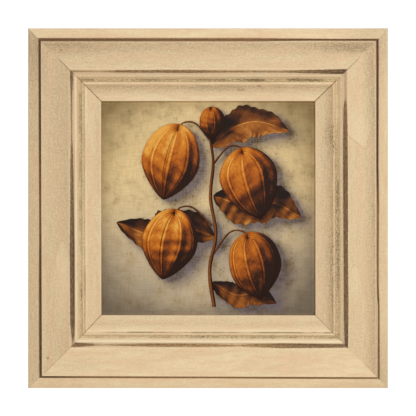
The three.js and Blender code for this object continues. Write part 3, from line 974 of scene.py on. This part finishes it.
def smooth_path(points, count):
    """A smooth curve through points, and its unit tangents."""
    points = np.array(points, float)
    padded = np.concatenate([2 * points[:1] - points[1:2], points, 2 * points[-1:] - points[-2:-1]])
    places = np.linspace(0, len(points) - 1, count)
    span = np.minimum(places.astype(int), len(points) - 2)
    part = (places - span)[:, None]
    before, start, end, after = (padded[span + step] for step in range(4))
    bend = 2 * before - 5 * start + 4 * end - after
    twist = 3 * start - before - 3 * end + after
    path = 0.5 * (2 * start + (end - before) * part + bend * part**2 + twist * part**3)
    heading = np.gradient(path, axis=0)
    return path, heading / np.linalg.norm(heading, axis=1, keepdims=True)


def swept(path, heading, side, ahead=0):
    """Points that far to the side of a path and ahead along it."""
    (x, z), (go_x, go_z) = path.T[..., None], heading.T[..., None]
    return x - go_z * side + go_x * ahead, z + go_x * side + go_z * ahead


def stalk(index, points, widths):
    """A round stem or stalk painted along a path."""
    seed = STEM.seed + index
    path, heading = smooth_path(points, STEM.per_point * len(points))
    along = np.linspace(0, 1, len(path))[:, None]
    half = np.interp(along, np.linspace(0, 1, len(widths)), widths) / 2
    half = half * (1 + STEM.uneven * np.sin(along * 31 + seed) * np.sin(along * 17))
    side = np.linspace(-1, 1, STEM.sides)
    x, z = swept(path, heading, half * side)
    form = half * np.sqrt(np.clip(1 - side**2, 0, 1))
    length = np.linalg.norm(np.diff(path, axis=0), axis=1).sum()
    height = STEM_LIFT.first + STEM_LIFT.belly * form
    where = along * length * 0.1, side, seed
    return x, z, height, where, painted_light(x, z, form), STEM.age


def dry_leaf(index, points, width, age):
    """A dried pointed leaf with a toothed, curling edge."""
    path, heading = smooth_path(points, BLADE.rows)
    along = np.linspace(0, 1, BLADE.rows)[:, None]
    side = np.linspace(-1, 1, BLADE.across)[None, :]
    out = abs(side)
    shape = along**BLADE.base * (1 - along) ** BLADE.tip
    half = shape / shape.max() * width / 2
    chance = np.random.default_rng(index + BLADE_SEEDS.edge)
    wave = BLADE.wave * np.sin(along * 19 + chance.uniform(0, 6) + 2 * np.sign(side))
    saw = (along * BLADE.teeth + 0.3 * np.sign(side)) % 1
    teeth = BLADE.tooth * (1 - abs(saw * 2 - 1)) * out**3
    reach = half * side * (1 + wave + teeth)
    x, z = swept(path, heading, reach, -BLADE_SHARES.sweep * width * out**2 * shape)
    curl = BLADE_SHARES.curl * out**2 + BLADE_SHARES.ruffle * np.sin(along * 16 + 3 * side + index) * out
    dents = crumple(x, z, index + BLADE_SEEDS.dents, BLADE_DENT)
    form = width * (curl + dents * BLADE_SHARES.dents)
    height = BLADE_LIFT.first + BLADE_LIFT.more * index
    height = height + BLADE_LIFT.midrib * (1 - out**2) * np.sqrt(shape / shape.max())
    where = along, side, index * BLADE_SEEDS.strokes + 2
    return x, z, height, where, painted_light(x, z, form), age


def canvas_cloth(cover, materials):
    """The stretched canvas: its painted face, its sides, and its edges turned over the backs of the bars."""
    flat = CANVAS_HALF - CLOTH.corner
    line = np.linspace(-flat, flat, CLOTH.grid)
    x, z = (part.ravel() for part in np.meshgrid(line, line))
    at = np.arange(x.size).reshape(CLOTH.grid, CLOTH.grid)
    faces = grid_faces(at.T).tolist()
    rim = rim_of(at)

    # Rings round the face, as (distance out from it, depth behind it)
    quarter = np.linspace(0, math.pi / 2, 5)[1:]
    last = CANVAS_DEPTH - CLOTH.corner
    rings = [(CLOTH.corner * math.sin(turn), CLOTH.corner * (1 - math.cos(turn))) for turn in quarter]
    rings += [(CLOTH.corner, deep) for deep in np.linspace(CLOTH.corner, last, 8)[1:]]
    rings += [(CLOTH.corner * math.cos(turn), last + CLOTH.corner * math.sin(turn)) for turn in quarter]
    rings += [(-inward, CANVAS_DEPTH) for inward in np.linspace(0, CLOTH.turned_edge - CLOTH.corner, 10)[1:]]
    all_x, all_z, depth = [x], [z], [np.zeros(x.size)]
    before = rim
    for number, (out, deep) in enumerate(rings):
        all_x.append(x[rim] * (flat + out) / flat)
        all_z.append(z[rim] * (flat + out) / flat)
        depth.append(np.full(len(rim), deep))
        now = x.size + number * len(rim) + np.arange(len(rim))
        faces += np.stack([before, now, np.roll(now, -1), np.roll(before, -1)], axis=-1).tolist()
        before = now

    # Folded ears over the corners of the turned edges
    first = x.size + len(rings) * len(rim)
    for sign_x in (-1, 1):
        for sign_z in (-1, 1):
            all_x.append([sign_x * (CANVAS_HALF - inward) for inward, _ in EAR])
            all_z.append([sign_z * (CANVAS_HALF - inward) for _, inward in EAR])
            depth.append([CANVAS_DEPTH + CLOTH.thickness + EAR_GAP] * len(EAR))
            order = (2, 1, 0) if sign_x * sign_z > 0 else (0, 1, 2)
            faces.append([first + corner for corner in order])
            first += len(EAR)

    all_x, all_z, depth = (np.concatenate(part) for part in (all_x, all_z, depth))
    vertices = to_row(all_x, CANVAS_FRONT - depth, all_z)
    piece = new_piece("canvas_cloth", vertices, faces, materials)
    piece.data.set_sharp_from_angle(angle=CANVAS_SHARP)
    painted = depth < CLOTH.painted_depth
    set_attribute(piece, "spot", all_x, all_z, painted_shadow(cover, all_x, all_z) * painted)
    set_attribute(piece, "cover", painted, 0, 0)
    thick = piece.modifiers.new("thickness", "SOLIDIFY")
    thick.thickness = CLOTH.thickness * MM
    thick.offset = -1
    thick.material_offset = 1
    thick.material_offset_rim = 1
    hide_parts("canvas")


def weave(flat):
    """Relief of a plain weave, from 0 to 1."""
    x, z, _ = flat.scaled([2 * math.pi / CLOTH.pitch] * 3).split()
    drift = flat.noise((0.2, 0.2, 0.2)) * 3.0
    return (x + drift).sine() * z.sine() * 0.5 + 0.5


def hatching(flat):
    """Fine crossing streaks, as a brush leaves on a coarse weave, from about -0.5 to 0.5."""
    level = flat.noise((0.07, 0.75, 0.5))
    upright = flat.noise((0.75, 0.07, 0.5))
    return (level + upright) * 0.5 - 0.5


def ground_paint():
    """The picture's ground: a warm cream scumble that darkens towards its corners."""
    shader = Shader("painted_ground", Specular_IOR_Level=0.1)
    x, z, shadow = shader.attribute("spot").split()
    painted, _, _ = shader.attribute("cover").split()
    flat = shader.joined(x, z)
    blotch = flat.noise((0.018, 0.018, 0))
    cloud = flat.noise((0.06, 0.06, 0), detail=4.0, roughness=0.65)
    hatch = hatching(flat)

    low = (z + blotch * 60.0).step(90.0, -60.0)
    shader.color = shader.mix(low, srgb(218, 190, 138), srgb(190, 170, 138))
    shader.lay(cloud.step(0.45, 0.75) * 0.8, srgb(184, 158, 112))
    shader.lay(blotch.step(0.45, 0.7) * low * 0.5, srgb(160, 148, 132))

    # Darker towards the edges and more so in the corners, about a place a little to the upper left
    edge_tone = shader.mix(low, srgb(112, 90, 52), srgb(92, 80, 66))
    off_middle = shader.joined(x + 5.0, z - 7.0)
    radius = shader.output("Value", "VectorMath", {0: off_middle}, operation="LENGTH")
    radius = radius + (cloud - 0.5) * 30.0
    shader.lay(radius.step(84.0, 168.0) * 0.85, edge_tone)
    side = abs(x).at_least(abs(z))
    shader.lay(side.step(108.0, 124.0) * 0.3, edge_tone)

    # Violet and brown shadows of the motifs
    shade = shader.mix(cloud.step(0.35, 0.7), srgb(104, 92, 96), srgb(74, 58, 46))
    shader.lay((shadow + hatch * shadow * 1.4) * 0.92, shade)

    # A painted lightening along the rim, to offset the shade that the slip throws there, on every side but
    # the left
    rim = x.at_least(abs(z)).step(117.2, 120.2)
    shader.brighten(hatch * 0.8 + 1.0 + rim * 0.25)

    # Scuffs of umber where a dry brush caught the weave, thickest beside the shadows
    scuff = flat.noise((0.5, 0.32, 0), detail=4.0, roughness=0.65)
    level = 0.67 - shadow.step(0.02, 0.2) * 0.07 - cloud.step(0.5, 0.66) * 0.08
    shader.lay((scuff - level).step(0.0, 0.04) * 0.62, srgb(92, 68, 38))

    # Bare gesso on the sides and the turned edges
    gesso = shader.mix(blotch, srgb(236, 230, 216), srgb(222, 214, 198))
    shader.color = shader.mix(painted, gesso, shader.color)
    normal = shader.bump(weave(flat), 0.1, 0.6)
    normal = shader.bump(hatch + cloud, 0.35, 0.6, Normal=normal)
    return shader.finish(cloud * 0.2 + 0.52, Normal=normal)


def raw_canvas():
    """Unprimed cotton, as it shows on the back."""
    shader = Shader("raw_canvas", Specular_IOR_Level=0.15)
    x, z, _ = shader.attribute("spot").split()
    flat = shader.joined(x, z)
    threads = weave(flat)
    tone = threads * 0.5 + hatching(flat) * 1.2
    shader.color = shader.mix(tone, srgb(196, 180, 150), srgb(224, 211, 184))
    return shader.finish(0.9, Normal=shader.bump(threads, 0.15, 0.8))


def oil_paint(shader, strokes, veins, stops):
    """Thick oil colour: a ramp from shade to light, broken by strokes, darkened by age and shadow."""
    light, age, shadow = shader.attribute("tone").split()
    value = light + (strokes - 0.5) * 0.55 - age * 0.34 - shadow * 0.42 + veins
    shader.color = value.ramp(stops)
    return shader.finish(0.5, Normal=shader.bump(strokes + veins * 1.2, 0.5, 0.6))


def husk_paint():
    """Seed cases: orange to dark brown, with pale ribs and a net of fine veins."""
    shader = Shader("painted_husk", Specular_IOR_Level=0.08)
    where = shader.attribute("where")
    turn, down, _ = where.split()
    strokes = where.noise((0.9, 2.6, 1), detail=5.0, roughness=0.62, distortion=0.6)
    from_rib = 0.5 - abs(turn.fraction() - 0.5)
    veins = from_rib.step(0.07, 0.02) * 0.2 + from_rib.between(0.08, 0.16, 0.04) * -0.13
    fan = abs((down * 9.0 + from_rib * 2.2).fraction() - 0.5)
    veins = veins - fan.step(0.1, 0.0) * 0.12 - where.cells((3.2, 15.0, 1)).step(0.09, 0.0) * 0.1
    return oil_paint(shader, strokes, veins, HUSK_STOPS)


def leaf_paint():
    """Dried leaves: brown with ochre lights and pale veins."""
    shader = Shader("painted_leaf", Specular_IOR_Level=0.08)
    where = shader.attribute("where")
    along, side, _ = where.split()
    strokes = where.noise((5.0, 1.6, 1), detail=5.0, roughness=0.62, distortion=0.8)
    off = abs(side)
    fan = abs((along * 9.0 - off * 2.0).fraction() - 0.5)
    veins = off.step(0.05, 0.015) * 0.3 + fan.step(0.07, 0.0) * 0.16
    veins = veins - where.cells((22.0, 6.0, 1)).step(0.08, 0.0) * 0.07
    return oil_paint(shader, strokes, veins, LEAF_STOPS)


def paint_picture():
    """The picture: a dried sprig with papery seed cases, from its top layer down to the canvas."""
    husk, leaf = husk_paint(), leaf_paint()
    cover = np.zeros((2 * MAP_HALF, 2 * MAP_HALF), bool)
    kinds = [
        ("lantern", lantern, LANTERNS, husk),
        ("stalk", stalk, STALKS, leaf),
        ("leaf", dry_leaf, LEAVES, leaf),
    ]
    for kind, form, motifs, material in kinds:
        for index, motif in enumerate(motifs):
            name = "painted_%s_%d" % (kind, index + 1)
            cover = paint_layer(name, material, cover, *form(index, *motif))
    canvas_cloth(cover, [ground_paint(), raw_canvas()])


# Bars and fittings


def eased_copy(node, name, width, material):
    """A copy of a solid with its edges rounded, which takes that solid's place."""
    mesh = bpy.data.meshes.new(name)
    with editing(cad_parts[node].data, mesh) as shape:
        bmesh.ops.remove_doubles(shape, verts=shape.verts, dist=1e-6)
        bmesh.ops.dissolve_limit(shape, angle_limit=0.01, verts=shape.verts, edges=shape.edges)
        sharp = [edge for edge in shape.edges if edge.is_manifold and edge.calc_face_angle(0) > EASE.angle]
        settings = {"segments": 2, "profile": 0.5, "affect": "EDGES", "clamp_overlap": True}
        bmesh.ops.bevel(shape, geom=sharp, offset=width * MM, **settings)
    piece = add_piece(name, mesh, [material])
    mesh.set_sharp_from_angle(angle=EASE.angle)
    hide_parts(node)


def bar_wood(name, along):
    """Planed pine with its fibres along that axis of the row frame."""
    shader = Shader(name, Specular_IOR_Level=0.3)
    x, y, z = shader.place().split()
    run, cross = (x, z) if along == "x" else (z, x)
    grain = shader.joined(run, cross + y * 0.7, y)
    shader.color, fibre = pine(shader, grain, srgb(232, 204, 158), srgb(196, 152, 100))
    return shader.finish(fibre * 0.25 + 0.5, Normal=shader.bump(fibre, 0.1, 0.6))


def plated(name, light, dark, draw):
    """Plated metal with dull patches and fine marks, which are long where the draw is small."""
    shader = Shader(name, Metallic=1.0)
    place = shader.place()
    dull = place.noise((0.25, 0.25, 0.25))
    shader.color = shader.mix(dull, light, dark)
    marks = place.noise(draw, detail=2.0)
    return shader.finish(dull * 0.25 + 0.22, Normal=shader.bump(marks, 0.03, 0.5))


def rubber():
    """Matt black rubber, a little dusty."""
    shader = Shader("black_rubber", Specular_IOR_Level=0.3)
    dust = shader.place().noise((1.2, 1.2, 1.2), detail=4.0)
    shader.color = shader.mix(dust.step(0.45, 0.75), srgb(44, 41, 39), srgb(74, 70, 66))
    return shader.finish(0.75, Normal=shader.bump(dust, 0.08, 0.6))


def bumper(side, material):
    """A moulded pad: a round foot with a softened rim and a shallow dish in its face."""
    low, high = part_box("bumper_" + side)
    middle, size = (low + high) / 2, high - low
    vertices = []
    for radius, thickness in BUMPER_PROFILE:
        for angle in np.linspace(0, 2 * math.pi, BUMPER_SIDES, endpoint=False):
            x = middle.x + size.x / 2 * radius * math.cos(angle)
            z = middle.z + size.x / 2 * radius * math.sin(angle)
            vertices.append((x, low.y + size.y * thickness, z))
    faces = ring_faces(len(BUMPER_PROFILE), BUMPER_SIDES)
    piece = new_piece("rubber_bumper_" + side, vertices, faces, [material])
    turn_faces_out(piece, seams=True)
    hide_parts("bumper_" + side)


def fit_the_back():
    level, upright = bar_wood("pine_level", "x"), bar_wood("pine_upright", "z")
    zinc = plated("zinc_plate", srgb(206, 208, 210), srgb(168, 172, 176), draw=(2.5, 0.4, 2.5))
    brass = plated("brass_plate", srgb(222, 188, 110), srgb(182, 142, 70), draw=(0.4, 2.5, 2.5))
    for side in QUARTER_TURNS:
        wood = level if side in ("top", "bottom") else upright
        eased_copy("stretcher_" + side, "stretcher_wood_" + side, EASE.bar, wood)
        eased_copy("clip_" + side, "offset_clip_" + side, EASE.clip, zinc)
        eased_copy("clip_screw_" + side, "pan_screw_" + side, EASE.screw, zinc)
        for number in (1, 2, 3, 4):
            staple = "staple_%s_%d" % (side, number)
            eased_copy(staple, "wire_" + staple, EASE.staple, zinc)
        for number in (1, 2):
            v_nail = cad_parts["v_nail_%s_%d" % (side, number)].data
            v_nail.materials.clear()
            v_nail.materials.append(zinc)
    eased_copy("hanger", "toothed_hanger", EASE.hanger, brass)
    black = rubber()
    for side in ("left", "right"):
        eased_copy("hanger_nail_" + side, "brass_nail_" + side, EASE.nail, brass)
        bumper(side, black)


# Stage, light and camera


def make_stage():
    shader = Shader("pale_floor")
    shader.color = srgb(240, 238, 234)
    z = CAD_BOX[0][2] - FLOOR.drop
    corners = [(x * FLOOR.half, y * FLOOR.half, z) for x, y in ((-1, -1), (1, -1), (1, 1), (-1, 1))]
    mesh = bpy.data.meshes.new("floor")
    mesh.from_pydata(corners, [], [(0, 1, 2, 3)])
    mesh.materials.append(shader.finish(0.8))
    linked("floor", mesh)


def make_light():
    scene = bpy.context.scene
    scene.view_settings.view_transform = "Standard"
    scene.world = bpy.data.worlds.new("studio")
    scene.world.use_nodes = True
    tree = scene.world.node_tree
    background = tree.nodes["Background"]
    background.inputs["Color"].default_value = (1, 1, 1, 1)
    seen = tree.nodes.new("ShaderNodeLightPath").outputs["Is Camera Ray"]
    strength = tree.nodes.new("ShaderNodeMapRange")
    strength.inputs["To Min"].default_value = SURROUNDINGS.light
    strength.inputs["To Max"].default_value = SURROUNDINGS.seen
    tree.links.new(seen, strength.inputs["Value"])
    tree.links.new(strength.outputs[0], background.inputs["Strength"])
    middle = Vector((0, BACK_Y * MM, CENTRE_Z * MM))
    for name, (place, power) in LAMPS.items():
        light = bpy.data.lights.new(name, "AREA")
        light.shape = "DISK"
        light.size = LAMP_SIZE
        light.energy = power
        lamp = linked(name, light)
        lamp.location = Vector(place) + Vector((0, 0, middle.z))
        lamp.rotation_euler = (middle - lamp.location).to_track_quat("-Z", "Y").to_euler()


def make_camera():
    """Square on to the frame, and as far off as its outside edges in the photograph say."""
    camera = bpy.data.cameras.new("camera")
    camera.lens = LENS
    camera.sensor_width = SENSOR
    view_width = 2 * HALF * MM * IMAGE_SIDE / EDGE_PIXELS
    distance = LENS / SENSOR * view_width
    drop = DROP_PIXELS * view_width / IMAGE_SIDE
    eye = linked("camera", camera)
    eye.location = (0, (BACK_Y - LIP.outer_height) * MM - distance, CENTRE_Z * MM + drop)
    eye.rotation_euler = (math.pi / 2, 0, 0)
    bpy.context.scene.camera = eye


make_stage()
make_light()
make_camera()
cream = rail_finish()
for side in QUARTER_TURNS:
    rail(side, cream)
fit_the_back()
paint_picture()
